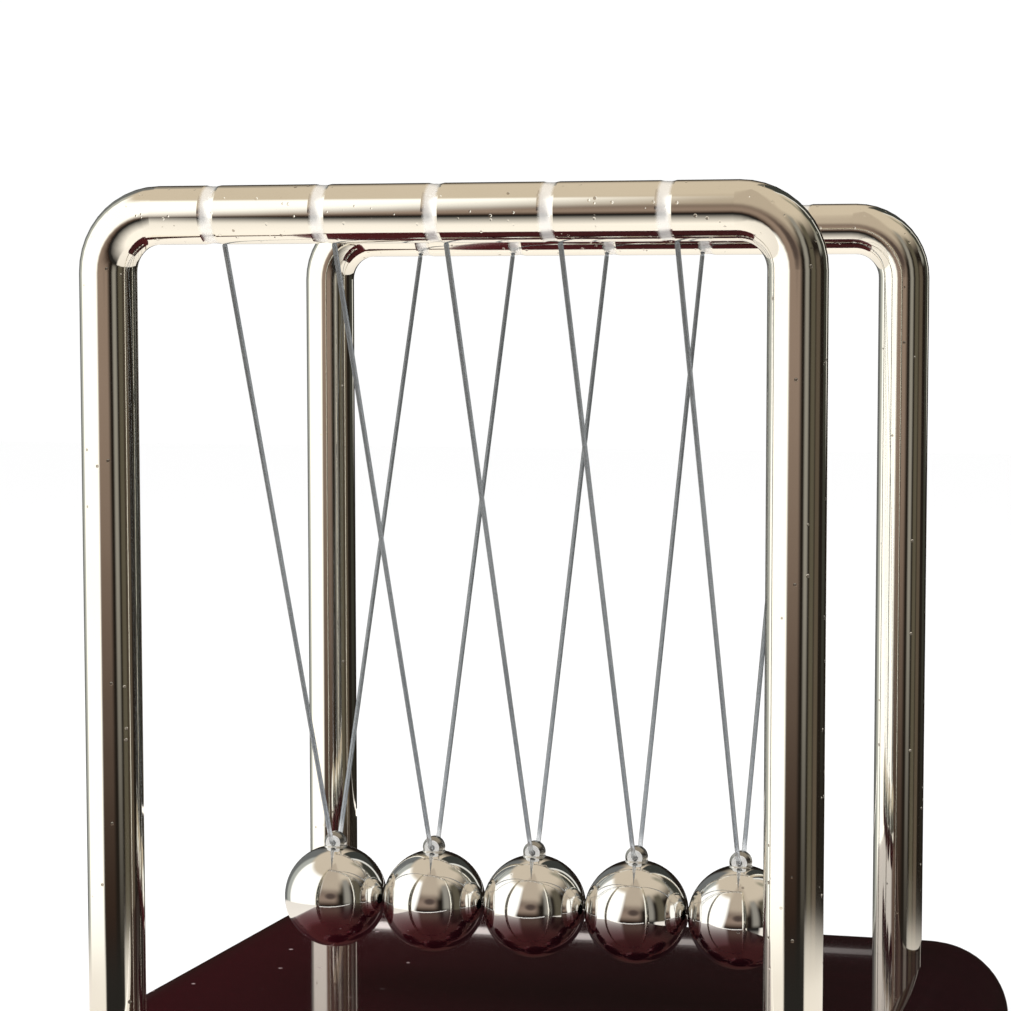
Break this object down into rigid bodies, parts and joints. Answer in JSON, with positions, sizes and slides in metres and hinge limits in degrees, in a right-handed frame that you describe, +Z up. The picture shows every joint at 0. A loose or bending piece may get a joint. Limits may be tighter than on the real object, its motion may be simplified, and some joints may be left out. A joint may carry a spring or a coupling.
{
  "type": "newton's cradle",
  "caption": "Desk pendulum toy: a row of polished steel balls, each hung by a V of nylon line from two bent chrome tube frames on a square, dark, glossy base.",
  "frame": {"origin": "centre of the square base, on the surface it stands on, under the rubber feet", "axes": "+X along the row of balls from ball_1 to ball_5, -Y the front, +Z up"},
  "size_m": [0.186, 0.186, 0.1949],
  "materials": {
    "base_lacquer": "dark mahogany under clear gloss lacquer",
    "frame_chrome": "bright plated steel tube, slightly warm",
    "ball_steel": "mirror polished solid steel",
    "eyelet_metal": "turned and plated",
    "line_nylon": "translucent grey nylon monofilament",
    "insert_steel": "plain turned steel",
    "screw_steel": "zinc plated",
    "washer_steel": "zinc plated",
    "foot_rubber": "matte black rubber"
  },
  "bodies": {
    "stand": {"base_plinth": "base_lacquer", "front_frame": "frame_chrome", "rear_frame": "frame_chrome", "front_line_knot_1": "line_nylon", "front_line_knot_2": "line_nylon", "front_line_knot_3": "line_nylon", "front_line_knot_4": "line_nylon", "front_line_knot_5": "line_nylon", "rear_line_knot_1": "line_nylon", "rear_line_knot_2": "line_nylon", "rear_line_knot_3": "line_nylon", "rear_line_knot_4": "line_nylon", "rear_line_knot_5": "line_nylon", "front_left_post_insert": "insert_steel", "front_right_post_insert": "insert_steel", "rear_left_post_insert": "insert_steel", "rear_right_post_insert": "insert_steel", "front_left_rubber_foot": "foot_rubber", "front_right_rubber_foot": "foot_rubber", "rear_left_rubber_foot": "foot_rubber", "rear_right_rubber_foot": "foot_rubber", "post_screws": "screw_steel", "post_washers": "washer_steel"},
    "swinging_ball_1": {"ball_1": "ball_steel", "eyelet_1": "eyelet_metal", "hanging_line_1": "line_nylon"},
    "swinging_ball_2": {"ball_2": "ball_steel", "eyelet_2": "eyelet_metal", "hanging_line_2": "line_nylon"},
    "swinging_ball_3": {"ball_3": "ball_steel", "eyelet_3": "eyelet_metal", "hanging_line_3": "line_nylon"},
    "swinging_ball_4": {"ball_4": "ball_steel", "eyelet_4": "eyelet_metal", "hanging_line_4": "line_nylon"},
    "swinging_ball_5": {"ball_5": "ball_steel", "eyelet_5": "eyelet_metal", "hanging_line_5": "line_nylon"}
  },
  "joints": [
    {"name": "ball_1_swing", "type": "hinge", "parent": "stand", "child": "swinging_ball_1", "pos_m": [-0.045, 0, 0.18336], "axis": [0, -1, 0], "range_deg": [-60, 0]},
    {"name": "ball_2_swing", "type": "hinge", "parent": "stand", "child": "swinging_ball_2", "pos_m": [-0.0225, 0, 0.18336], "axis": [0, -1, 0], "range_deg": [-0.11, 0.11]},
    {"name": "ball_3_swing", "type": "hinge", "parent": "stand", "child": "swinging_ball_3", "pos_m": [0, 0, 0.18336], "axis": [0, -1, 0], "range_deg": [-0.11, 0.11]},
    {"name": "ball_4_swing", "type": "hinge", "parent": "stand", "child": "swinging_ball_4", "pos_m": [0.0225, 0, 0.18336], "axis": [0, -1, 0], "range_deg": [-0.11, 0.11]},
    {"name": "ball_5_swing", "type": "hinge", "parent": "stand", "child": "swinging_ball_5", "pos_m": [0.045, 0, 0.18336], "axis": [0, -1, 0], "range_deg": [0, 60]}
  ]
}
